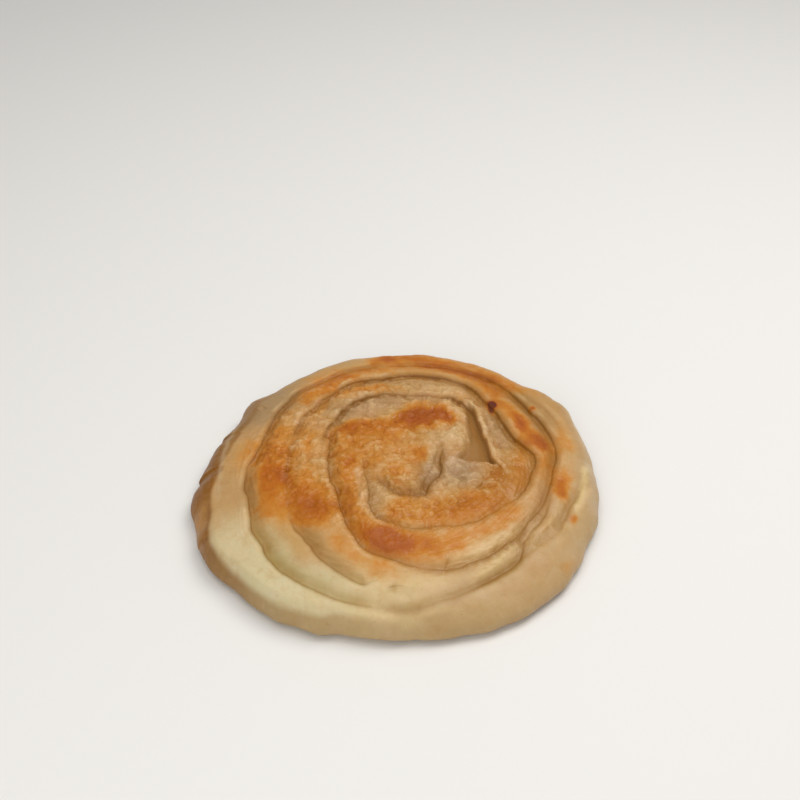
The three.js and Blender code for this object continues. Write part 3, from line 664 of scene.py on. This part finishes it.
# ---- the bread's mesh ----------------------------------------------------------------
def profile(a, rows):
    """The edge in section at each angle, from the dome down to the underside: radius share, height and
    length along the section, in equal steps."""
    w, p = edge_width(a)[:, None], edge_power(a)[:, None]
    R = outline(a)[:, None]
    turn = np.linspace(0, math.pi / 2, 180)[None, :]
    s, c = np.sin(turn) ** (2 / p), np.cos(turn) ** (2 / p)
    share = 1 - w * (1 - s)
    top = SHOULDER + (CROWN - SHOULDER) * (1 - share**DOME_POWER)
    r1, z1 = R * share, EDGE + (top - EDGE) * c
    r2 = R - UNDERCUT * (1 - np.cos(turn[:, 1:]))
    z2 = EDGE * (1 - np.sin(turn[:, 1:])) + 0 * R
    r, z = np.hstack([r1, r2]), np.hstack([z1, z2])
    way = np.hstack([0 * R, np.cumsum(np.hypot(np.diff(r), np.diff(z)), axis=1)])
    even = np.linspace(0, 1, rows + 1)
    out = np.zeros((3, len(a), rows + 1))
    for i in range(len(a)):
        at = even * way[i, -1]
        out[0, i] = np.interp(at, way[i], r[i]) / R[i]
        out[1, i] = np.interp(at, way[i], z[i])
        out[2, i] = at
    return out


def angles(n):
    return np.arange(n) * (2 * math.pi / n)


def sectors_for(t, most):
    n = most
    while n > 20 and t < 0.5 and n % 2 == 0:
        n //= 2
        t *= 2
    return n


points, shares, exts, turns = [], [], [], []
faces, under_from = [], None
rings = []  # (first vertex, how many)


def add_ring(x, y, z, share, ext, a):
    start = sum(len(p) for p in points)
    points.append(np.stack([x, y, z], -1))
    shares.append(share)
    exts.append(ext)
    turns.append(a)
    rings.append((start, len(x)))


def join(one, two):
    """Faces between two neighbouring rings, the second further along; a ring may hold half the other's points."""
    (s, n), (t, m) = one, two
    if n == m:
        i = np.arange(n)
        k = (i + 1) % n
        faces.extend(np.stack([s + i, t + i, t + k, s + k], -1).tolist())
    elif m == 2 * n:
        i = np.arange(n)
        k = (i + 1) % n
        faces.extend(np.stack([s + i, t + 2 * i, t + 2 * i + 1], -1).tolist())
        faces.extend(np.stack([s + i, t + 2 * i + 1, s + k], -1).tolist())
        faces.extend(np.stack([s + k, t + 2 * i + 1, t + (2 * i + 2) % m], -1).tolist())
    elif n == 2 * m:
        i = np.arange(m)
        k = (i + 1) % m
        faces.extend(np.stack([s + 2 * i, t + i, s + 2 * i + 1], -1).tolist())
        faces.extend(np.stack([t + i, t + k, s + 2 * i + 1], -1).tolist())
        faces.extend(np.stack([s + 2 * i + 1, t + k, s + (2 * i + 2) % n], -1).tolist())
    else:
        raise ValueError("rings do not fit")


# The top: the pole, the dome's rings, then the edge's rows.
add_ring(np.zeros(1), np.zeros(1), np.full(1, CROWN), np.zeros(1), np.zeros(1), np.zeros(1))
for j in range(1, DOME_RINGS + 1):
    t = j / DOME_RINGS
    a = angles(sectors_for(t * 0.999, SECTORS))
    R = outline(a)
    share = t * (1 - edge_width(a))
    r = R * share
    z = SHOULDER + (CROWN - SHOULDER) * (1 - share**DOME_POWER)
    add_ring(r * np.cos(a), r * np.sin(a), z, share, r, a)
a = angles(SECTORS)
R = outline(a)
edge = profile(a, EDGE_ROWS)
edge_first = len(rings)
start_r = R * (1 - edge_width(a))
for j in range(1, EDGE_ROWS + 1):
    r = R * edge[0, :, j]
    add_ring(r * np.cos(a), r * np.sin(a), edge[1, :, j], edge[0, :, j], start_r + edge[2, :, j], a)
top_rings = len(rings)
s0, n0 = rings[0]
s1, n1 = rings[1]
i = np.arange(n1)
faces.extend(np.stack([0 * i, s1 + i, s1 + (i + 1) % n1], -1).tolist())
for one, two in zip(rings[1:], rings[2:]):
    join(one, two)
top_faces = len(faces)

xyz = np.vstack(points)
share, ext, turn_of = np.concatenate(shares), np.concatenate(exts), np.concatenate(turns)

# The top's own normals, to stand the relief on.
def ring_normals(xyz):
    """Normals of the smooth base, from its section at each angle."""
    r = np.hypot(xyz[:, 0], xyz[:, 1])
    out = np.zeros_like(xyz)
    for index, (s, n) in enumerate(rings[:top_rings]):
        if index == 0:
            out[s] = (0, 0, 1)
            continue
        before = rings[index - 1]
        after = rings[min(index + 1, top_rings - 1)]
        i = np.arange(n)
        b = before[0] + (i * before[1]) // n
        f = after[0] + (i * after[1]) // n
        dr = r[f] - r[b]
        dz = xyz[f, 2] - xyz[b, 2]
        l = np.hypot(dr, dz) + 1e-9
        ca, sa = np.cos(turn_of[s : s + n]), np.sin(turn_of[s : s + n])
        out[s : s + n] = np.stack([-dz / l * ca, -dz / l * sa, dr / l], -1)
    return out


normal = ring_normals(xyz)
ex, ey = ext * np.cos(turn_of), ext * np.sin(turn_of)
lift, push, mask = shape(xyz[:, 0], xyz[:, 1], ex, ey, share, turn_of)
xyz = xyz + normal * lift[:, None]
xyz[:, 0] += push[0]
xyz[:, 1] += push[1]
xyz[:, 2] = np.maximum(xyz[:, 2], 0.0)

# The underside: nearly flat, resting on its outer part, with a faint trace of the winding.
under_start = len(rings)
low_x, low_y = xyz[rings[-1][0] : rings[-1][0] + SECTORS, 0], xyz[rings[-1][0] : rings[-1][0] + SECTORS, 1]
base = [xyz]
count = len(xyz)
base_share = [share]
under_at = []
for j in range(1, BASE_RINGS + 1):
    t = 1 - j / BASE_RINGS
    if j == BASE_RINGS:
        n = 1
        x, y = np.zeros(1), np.zeros(1)
    else:
        n = min(sectors_for(t * 0.999, SECTORS), SECTORS // 2)
        step = SECTORS // n
        x, y = low_x[::step] * t, low_y[::step] * t
    r = np.hypot(x, y)
    a = np.arctan2(y, x)
    wave = fractal(x, y, 24, 401, 3, 0.5)
    groove = np.exp(-((((r + 11.0 * a / (2 * math.pi)) % 11.0 - 5.5) / 1.1) ** 2))
    z = (0.28 + 0.22 * wave + 0.30 * groove) * smooth((1 - t) / 0.08) * smooth((86 - r) / 8)
    z = np.clip(z, 0.0, 0.9)
    base.append(np.stack([x, y, z], -1))
    rings.append((count, n))
    under_at.append(t)
    count += n
for k in range(under_start, len(rings)):
    one, two = rings[k - 1], rings[k]
    if two[1] == 1:
        s, n = one
        i = np.arange(n)
        faces.extend(np.stack([s + i, np.full(n, two[0]), s + (i + 1) % n], -1).tolist())
    else:
        join(one, two)
verts = np.vstack(base)
placed = verts - np.array([*CENTRE, 0.0])


# ---- colour of the dough, from place to place ------------------------------------------
def srgb(r, g, b):
    return tuple(((v / 255 + 0.055) / 1.055) ** 2.4 if v > 10 else v / 255 / 12.92 for v in (r, g, b))


def crust(r, g, b):
    """A seen colour of the crust as a base colour: what its sheen adds is taken off."""
    return tuple(max(v - 0.015, 0.0025) for v in srgb(r, g, b))


def blob(x, y, cx, cy, rx, ry, turn=0.0, sharp=1.3):
    c, s = math.cos(math.radians(turn)), math.sin(math.radians(turn))
    u = (x - cx) * c + (y - cy) * s
    v = -(x - cx) * s + (y - cy) * c
    return np.exp(-(((u / rx) ** 2 + (v / ry) ** 2) ** sharp))


# Colour of the outermost turn by angle, and of the wall below it. The wall's colours are its browning with painted
# shade, darkest on the left, about 165 to 205 degrees.
OUTER_TINT = [
    (0, 193, 163, 122), (20, 187, 149, 100), (45, 184, 143, 90), (75, 192, 150, 96), (90, 194, 152, 98),
    (108, 187, 150, 102), (125, 177, 141, 94), (138, 170, 140, 101), (150, 170, 140, 103), (162, 180, 144, 101),
    (175, 184, 145, 97), (198, 186, 150, 104), (212, 202, 184, 146), (232, 207, 194, 158), (250, 208, 192, 153),
    (266, 208, 186, 144), (280, 200, 172, 130), (292, 191, 160, 118), (312, 190, 156, 112), (335, 194, 160, 116),
]
WALL_TONE_AND_SHADE = [
    (0, 196, 170, 134), (30, 186, 148, 98), (90, 176, 118, 62), (130, 160, 122, 82), (150, 154, 122, 86),
    (165, 138, 95, 46), (188, 138, 90, 34), (205, 139, 94, 44), (220, 150, 116, 72), (236, 172, 146, 106),
    (252, 184, 158, 116), (270, 192, 164, 122), (290, 190, 160, 118), (312, 192, 160, 117), (335, 194, 164, 124),
]


# Paler, greyer and more golden places inside it: x, y, half widths, turn, colour and strength.
# The cream lines at the ridge on the right (86, -13) and along the front (6, -88) are painted highlight.
TINTS = [
    (-22, -62, 34, 14, -35, (200, 168, 120), 0.85), (-4, -74, 26, 9, 2, (210, 184, 136), 0.95),
    (-48, -46, 9, 16, 30, (190, 154, 100), 0.8), (-6, -62, 10, 5, 0, (196, 160, 96), 0.6),
    (30, -54, 16, 7, 25, (210, 174, 124), 0.9), (48, -44, 12, 7, 45, (192, 152, 102), 0.8),
    (38, -66, 22, 8, 25, (190, 157, 110), 0.8), (24, 22, 11, 19, 0, (200, 168, 124), 0.95),
    (22, 42, 12, 5, 0, (188, 150, 106), 0.8), (-8, 41, 22, 7, 14, (178, 142, 106), 0.9),
    (-22, 34, 8, 9, 40, (180, 144, 106), 0.7), (31, -11, 14, 13, 0, (174, 140, 108), 1.0),
    (15, -15, 6, 13, -18, (178, 142, 106), 0.9), (-7, -27, 6, 9, 0, (188, 150, 108), 0.9),
    (12, 57, 34, 7, 0, (180, 142, 100), 0.9), (22, 51.5, 18, 2.6, -6, (200, 166, 122), 0.8),
    (48, 22, 7, 20, 12, (182, 146, 106), 0.95), (-36, -6, 5, 26, 0, (198, 152, 104), 0.8),
    (-30, 46, 8, 12, -40, (176, 140, 98), 0.6), (-48, 46, 6, 12, -30, (178, 144, 102), 0.6),
    (-74, 14, 8, 12, 10, (196, 148, 88), 0.7), (-79, -28, 5, 16, 0, (190, 158, 114), 0.5),
    (14, -73, 15, 6, 3, (208, 180, 134), 0.8), (50, -51, 15, 4.5, 42, (206, 166, 118), 0.8),
    (6, -88, 15, 4, 2, (220, 198, 152), 0.8), (86, -13, 2.6, 15, -18, (222, 198, 150), 0.95),
    (60, -10, 5, 16, 0, (190, 146, 90), 0.5), (66, -40, 8, 9, 40, (188, 152, 96), 0.6),
]


# Duller, darker places, browned or not: x, y, half widths, turn and strength.
DULL = [
    (50, -13, 11, 19, -10, 0.85), (-12, 12, 14, 10, 0, 0.3), (10, 12, 10, 10, 0, 0.22), (30, -32, 18, 9, 15, 0.4), (-8, -48, 12, 8, -20, 0.2),
    (-28, -67, 12, 7, -35, 0.25), (66, 52, 8, 10, -30, 0.3), (31, -12, 14, 12, 0, 0.35), (15, -10, 6, 16, -16, 0.45), (12, 30, 15, 8, 0, 0.45),
    (46, 46, 6, 10, 20, 0.35), (44, 66, 12, 7, -40, 0.3), (-6, 56, 14, 5, 0, 0.3), (36, 8, 7, 12, 0, 0.35),
    (-60, 44, 8, 16, -30, 0.3), (-36, -30, 9, 8, -30, 0.25), (72, 20, 6, 20, 10, 0.3), (-22, 28, 9, 12, 30, 0.2),
]


def tint_at(a, rows):
    return np.stack([table_at(a, [(r[0], crust(*r[1:])[k]) for r in rows]) for k in range(3)], -1)


def dough(x, y, ex, ey, share, a, mask):
    """Base colour of the dough before browning, linear."""
    n = len(x)
    col = np.tile(np.array(crust(190, 146, 98)), (n, 1))
    wx = x + 4 * noise(x, y, 24, 501)
    wy = y + 4 * noise(x, y, 24, 502)

    def over(colour, amount):
        nonlocal col
        if isinstance(colour, tuple):
            colour = np.array(crust(*colour))
        col = mix(col, colour, np.clip(amount, 0, 1)[:, None])

    for cx, cy, rx, ry, turn, seen, amount in TINTS:
        over(seen, blob(wx, wy, cx, cy, rx, ry, turn) * amount)
    rim = 66 + 7 * np.cos(a - math.radians(30)) + 7 * smooth((np.cos(a - math.radians(262)) - 0.6) / 0.3)
    over(tint_at(a, OUTER_TINT), smooth((np.hypot(wx, wy) - rim) / 9))
    edge_at = table_at(a, [(0, 0.94), (130, 0.93), (150, 0.875), (166, 0.862), (185, 0.862), (198, 0.895), (210, 0.945), (222, 0.965), (240, 0.965), (260, 0.95), (300, 0.92), (340, 0.92)])
    wall = smooth((share - edge_at) / 0.025)
    over(tint_at(a, WALL_TONE_AND_SHADE), wall)
    # Streak colours: painted highlight on the pale ridges, painted shade in the low bands.
    for points, wide, _, seen, amount in STREAKS:
        over(seen, streak(points, wide, x, y) * amount)
    dull = np.zeros(n)
    for cx, cy, rx, ry, turn, amount in DULL:
        dull = np.maximum(dull, blob(wx, wy, cx, cy, rx, ry, turn, 1.0) * amount)
    return col, wall, dull


brown = mask["brown"]
tint, wall, dull = dough(xyz[:, 0], xyz[:, 1], ex, ey, share, turn_of, mask)
total = len(verts)
top_count = len(xyz)


def whole(values, under):
    out = np.array(under, float) * np.ones((total,) + np.shape(values)[1:])
    out[:top_count] = values
    return out


ux, uy = verts[top_count:, 0], verts[top_count:, 1]
under_brown = np.clip(0.45 + 0.55 * fractal(ux, uy, 17, 601, 3, 0.6) + 0.25 * noise(ux, uy, 7, 640), 0.05, 1.1)
brown_all = whole(brown, 0.0)
brown_all[top_count:] = under_brown
hill_all = whole(mask["hill"], 0.5)
crease_shade_all = whole(mask["crease_shade"], 0.0)
seam_shade_all = whole(mask["seam_shade"], 0.0)
lip_highlight_all = whole(mask["lip"], 0.0)
gap_all = whole(mask["gap"], 0.0)
inner_all = whole(mask["inner"], 0.0)
dull_all = whole(dull, 0.0)
tint_all = whole(tint, crust(208, 172, 118))

mesh = bpy.data.meshes.new("parotta_bread")
mesh.from_pydata((placed / 1000.0).tolist(), [], faces)
mesh.validate()
for name, values in (("browned", brown_all), ("crease_shade", crease_shade_all), ("seam_shade", seam_shade_all), ("hill", hill_all), ("lip", lip_highlight_all), ("gap", gap_all), ("inner", inner_all), ("dull", dull_all)):
    layer = mesh.attributes.new(name, "FLOAT", "POINT")
    layer.data.foreach_set("value", np.ascontiguousarray(values, dtype=np.float32))
layer = mesh.attributes.new("dough", "FLOAT_COLOR", "POINT")
rgba = np.concatenate([tint_all, np.ones((total, 1))], 1).astype(np.float32)
layer.data.foreach_set("color", np.ascontiguousarray(rgba).ravel())

# The map: the top and its edge on a large disc, the underside on a small one beside it.
way = np.concatenate([ext, np.zeros(total - top_count)])
full = edge[2, :, -1] + start_r
column = np.clip(np.round(np.concatenate([turn_of, np.zeros(total - top_count)]) / (2 * math.pi) * SECTORS).astype(int), 0, SECTORS - 1)
top_r = 0.42 * way / full[column]
top_a = np.concatenate([turn_of, np.zeros(total - top_count)])
top_uv = np.stack([0.425 + top_r * np.cos(top_a), 0.425 + top_r * np.sin(top_a)], -1)
under_uv = 0.845 + verts[:, :2] / 97.0 * 0.15
loops = np.zeros(len(mesh.loops), np.int64)
mesh.loops.foreach_get("vertex_index", loops)
starts = np.zeros(len(mesh.polygons), np.int64)
totals = np.zeros(len(mesh.polygons), np.int64)
mesh.polygons.foreach_get("loop_start", starts)
mesh.polygons.foreach_get("loop_total", totals)
below = np.repeat(np.arange(len(starts)) >= top_faces, totals)
uv = np.where(below[:, None], under_uv[loops], top_uv[loops])
uv_layer = mesh.uv_layers.new(name="OFBake")
uv_layer.data.foreach_set("uv", np.ascontiguousarray(uv, dtype=np.float32).ravel())
mesh.polygons.foreach_set("use_smooth", np.ones(len(mesh.polygons), bool))
mesh.update()

bread = bpy.data.objects.new("parotta_bread", mesh)
bpy.context.scene.collection.objects.link(bread)


# ---- material -----------------------------------------------------------------------
class Tree:
    def __init__(self, material):
        material.use_nodes = True
        self.tree = material.node_tree
        self.tree.nodes.clear()

    def node(self, kind, **settings):
        made = self.tree.nodes.new(kind)
        for key, value in settings.items():
            setattr(made, key, value)
        return made

    def link(self, a, b):
        self.tree.links.new(a, b)

    def put(self, socket, value):
        if hasattr(value, "is_output"):
            self.link(value, socket)
        else:
            socket.default_value = value

    def math(self, op, *values, clamp=False):
        m = self.node("ShaderNodeMath", operation=op, use_clamp=clamp)
        for i, v in enumerate(values):
            self.put(m.inputs[i], v)
        return m.outputs[0]

    def read(self, name, colour=False):
        a = self.node("ShaderNodeAttribute", attribute_name=name)
        return a.outputs["Color" if colour else "Fac"]

    def noise(self, where, scale, detail=3.0, rough=0.5, distortion=0.0):
        n = self.node("ShaderNodeTexNoise", noise_dimensions="3D")
        self.link(where, n.inputs["Vector"])
        n.inputs["Scale"].default_value = scale
        n.inputs["Detail"].default_value = detail
        n.inputs["Roughness"].default_value = rough
        n.inputs["Distortion"].default_value = distortion
        return n.outputs["Fac"]

    def voronoi(self, where, scale, feature="F1", random=1.0):
        n = self.node("ShaderNodeTexVoronoi", voronoi_dimensions="3D", feature=feature)
        self.link(where, n.inputs["Vector"])
        n.inputs["Scale"].default_value = scale
        n.inputs["Randomness"].default_value = random
        return n.outputs["Distance"]

    def span(self, value, low, high, to_low=0.0, to_high=1.0, smooth_ends=True):
        m = self.node("ShaderNodeMapRange", interpolation_type="SMOOTHSTEP" if smooth_ends else "LINEAR", clamp=True)
        self.put(m.inputs["Value"], value)
        for key, v in (("From Min", low), ("From Max", high), ("To Min", to_low), ("To Max", to_high)):
            m.inputs[key].default_value = v
        return m.outputs["Result"]

    def blend(self, fac, a, b, kind="MIX"):
        m = self.node("ShaderNodeMix", data_type="RGBA", blend_type=kind, clamp_factor=True)
        self.put(m.inputs["Factor"], fac)
        for socket, v in ((m.inputs[6], a), (m.inputs[7], b)):
            if isinstance(v, tuple):
                socket.default_value = (*v, 1.0)
            else:
                self.link(v, socket)
        return m.outputs[2]

    def ramp(self, fac, stops):
        r = self.node("ShaderNodeValToRGB")
        self.link(fac, r.inputs["Fac"])
        e = r.color_ramp.elements
        while len(e) < len(stops):
            e.new(0.5)
        for i, (at, colour) in enumerate(stops):
            e[i].position = at
            e[i].color = (*colour, 1.0)
        return r.outputs["Color"]


def bread_material():
    material = bpy.data.materials.new("griddled_crust")
    t = Tree(material)
    place = t.node("ShaderNodeTexCoord").outputs["Object"]
    browned, crease_shade, lip = t.read("browned"), t.read("crease_shade"), t.read("lip")
    seam_shade, gap, inner, hill = t.read("seam_shade"), t.read("gap"), t.read("inner"), t.read("hill")
    dough_colour = t.read("dough", True)

    broad = t.noise(place, 105.0, 2.5, 0.5, 0.3)
    tone = t.noise(place, 62.0, 3.0, 0.55, 0.4)
    fine = t.noise(place, 330.0, 1.6, 0.5)
    speck = t.noise(place, 1300.0, 2.0, 0.5)
    # Browning breaks up in broad patches, and is a little lighter on the raised lumps and blister tops.
    patchy = t.span(broad, 0.30, 0.70, 0.78, 1.14)
    patchy = t.math("ADD", patchy, t.math("MULTIPLY", t.math("SUBTRACT", 1.0, patchy), t.span(browned, 0.70, 1.0, 0.0, 0.85)))
    broken = t.math("MULTIPLY", browned, patchy)
    broken = t.math("ADD", broken, t.math("MULTIPLY", t.math("SUBTRACT", fine, 0.5), 0.12))
    broken = t.math("ADD", broken, t.math("MULTIPLY", t.math("SUBTRACT", hill, 0.5), -0.14))
    level = t.math("MULTIPLY", broken, 0.74, clamp=True)
    cooked = t.ramp(level, [
        (0.00, crust(200, 158, 106)), (0.20, crust(200, 148, 84)), (0.38, crust(197, 134, 62)),
        (0.54, crust(190, 119, 45)), (0.70, crust(179, 103, 33)), (0.84, crust(166, 88, 25)), (0.93, crust(154, 78, 18)), (1.0, crust(112, 50, 14)),
    ])
    colour = t.blend(t.span(level, 0.00, 0.40, smooth_ends=False), dough_colour, cooked)
    # The dough's own mottling, cream to tan.
    mottle = t.span(t.noise(place, 90.0, 5.0, 0.65, 0.6), 0.35, 0.7)
    colour = t.blend(t.math("MULTIPLY", mottle, 0.30), colour, t.blend(1.0, colour, (0.82, 0.70, 0.52), "MULTIPLY"))
    # Painted highlight and shade on the relief: lumps and blister tops are painted pale and a little pink, the hollows
    # between them painted tan.
    raised = t.math("MULTIPLY", t.math("SUBTRACT", hill, 0.5), t.span(inner, 0.0, 1.0, 0.4, 1.0))
    raised = t.math("ADD", raised, t.math("MULTIPLY", t.math("SUBTRACT", fine, 0.5), 0.22))
    painted_top_highlight = t.math("MULTIPLY", t.span(raised, 0.02, 0.55), t.span(level, 0.2, 0.75, 0.42, 0.05))
    colour = t.blend(painted_top_highlight, colour, crust(218, 182, 136))
    hollow = t.span(raised, -0.05, -0.45)
    colour = t.blend(t.math("MULTIPLY", hollow, 0.55), colour, t.blend(1.0, colour, (0.80, 0.70, 0.54), "MULTIPLY"))
    # Slow drifts of tone: a little golden here and there, and the duller places.
    golden = t.blend(1.0, colour, (0.94, 0.95, 0.83), "MULTIPLY")
    colour = t.blend(t.math("MULTIPLY", t.span(tone, 0.36, 0.64), t.span(inner, 0.0, 1.0, 0.45, 0.9)), colour, golden)
    colour = t.blend(t.read("dull"), colour, t.blend(1.0, colour, (0.72, 0.74, 0.70), "MULTIPLY"))
    # Painted shade darkens the seams: a warm band mostly on the inner side of each seam and a thin dark line along it.
    seam_shade_amount = t.math("MULTIPLY", seam_shade, t.span(broad, 0.2, 0.8, 0.75, 1.0), clamp=True)
    shaded = t.blend(t.span(level, 0.1, 0.5), (0.64, 0.53, 0.31), (0.74, 0.70, 0.55))
    colour = t.blend(seam_shade_amount, colour, t.blend(1.0, colour, shaded, "MULTIPLY"))
    deep = t.math("MULTIPLY", crease_shade, t.span(fine, 0.2, 0.8, 0.45, 0.85), clamp=True)
    colour = t.blend(t.math("MULTIPLY", deep, 0.42, clamp=True), colour, crust(128, 86, 38))
    # Painted shade: the floor of the gap is coloured a darker brown.
    colour = t.blend(t.math("MULTIPLY", gap, 0.9), colour, crust(150, 108, 60))
    # Painted highlight: a pale line along the seams' lips, faint where the crust is browned.
    colour = t.blend(t.math("MULTIPLY", lip, t.span(level, 0.3, 0.7, 0.30, 0.05), clamp=True), colour, crust(216, 184, 138))
    dots = t.span(speck, 0.66, 0.74)
    colour = t.blend(t.math("MULTIPLY", dots, 0.25), colour, crust(130, 80, 36))

    rough = t.math("ADD", t.span(broad, 0.3, 0.7, 0.34, 0.50), t.math("MULTIPLY", crease_shade, -0.05))
    rough = t.math("SUBTRACT", rough, t.math("MULTIPLY", level, 0.06))
    rough = t.math("ADD", rough, t.span(level, 0.62, 0.92, 0.0, 0.24), clamp=True)

    wrinkle = t.noise(place, 520.0, 4.0, 0.55)
    pore = t.voronoi(place, 900.0)
    relief = t.math("ADD", t.math("MULTIPLY", wrinkle, 1.0), t.math("MULTIPLY", t.span(pore, 0.0, 0.55), 0.2))
    bump = t.node("ShaderNodeBump")
    bump.inputs["Strength"].default_value = 0.35
    bump.inputs["Distance"].default_value = 0.00032
    t.link(relief, bump.inputs["Height"])

    shader = t.node("ShaderNodeBsdfPrincipled")
    t.link(colour, shader.inputs["Base Color"])
    t.link(rough, shader.inputs["Roughness"])
    t.link(bump.outputs["Normal"], shader.inputs["Normal"])
    shader.inputs["Subsurface Weight"].default_value = 0.10
    shader.inputs["Subsurface Radius"].default_value = (1.0, 0.45, 0.2)
    shader.inputs["Subsurface Scale"].default_value = 0.0012
    shader.inputs["Specular IOR Level"].default_value = 0.26
    t.link(shader.outputs[0], t.node("ShaderNodeOutputMaterial").inputs["Surface"])
    return material


mesh.materials.append(bread_material())
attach(bread, "root")
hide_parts("parotta")

# ---- floor, light and camera -----------------------------------------------------------
floor_mesh = bpy.data.meshes.new("floor")
floor_mesh.from_pydata([(-3, -3, -0.0001), (3, -3, -0.0001), (3, 3, -0.0001), (-3, 3, -0.0001)], [], [(0, 1, 2, 3)])
floor = bpy.data.objects.new("floor", floor_mesh)
bpy.context.scene.collection.objects.link(floor)
pale = bpy.data.materials.new("pale_floor")
t = Tree(pale)
shader = t.node("ShaderNodeBsdfPrincipled")
shader.inputs["Base Color"].default_value = (0.78, 0.775, 0.76, 1.0)
shader.inputs["Roughness"].default_value = 0.6
t.link(shader.outputs[0], t.node("ShaderNodeOutputMaterial").inputs["Surface"])
floor_mesh.materials.append(pale)

scene = bpy.context.scene
world = bpy.data.worlds.new("studio")
scene.world = world
world.use_nodes = True
world.node_tree.nodes["Background"].inputs["Color"].default_value = (1.0, 0.98, 0.95, 1.0)
world.node_tree.nodes["Background"].inputs["Strength"].default_value = 0.36


def area(name, where, at, size, power, colour):
    data = bpy.data.lights.new(name, "AREA")
    data.shape = "DISK"
    data.size = size
    data.energy = power
    data.color = colour
    lamp = bpy.data.objects.new(name, data)
    lamp.location = where
    way = np.array(at) - np.array(where)
    yaw = math.atan2(way[1], way[0])
    tilt = math.atan2(math.hypot(way[0], way[1]), -way[2])
    lamp.rotation_euler = (tilt, 0.0, yaw - math.pi / 2)
    scene.collection.objects.link(lamp)


area("key", (0.42, 0.26, 0.85), (0, 0, 0.01), 0.6, 4.7, (1.0, 0.98, 0.95))
area("over", (-0.15, -0.05, 1.0), (0, 0, 0.01), 0.8, 3.0, (1.0, 0.99, 0.97))
area("fill", (-0.30, -0.80, 0.45), (0, 0, 0.01), 0.7, 2.7, (1.0, 0.98, 0.96))

scene.view_settings.view_transform = "Standard"
camera_data = bpy.data.cameras.new("camera")
camera_data.sensor_width = 36.0
camera_data.lens = 18.0 / math.tan(math.radians(17.5))
camera_data.clip_start = 0.01
camera = bpy.data.objects.new("camera", camera_data)
camera.location = (0.00157, -0.43878, 0.41087)
camera.rotation_euler = (math.radians(51.04), 0.0, 0.0)
scene.collection.objects.link(camera)
scene.camera = camera
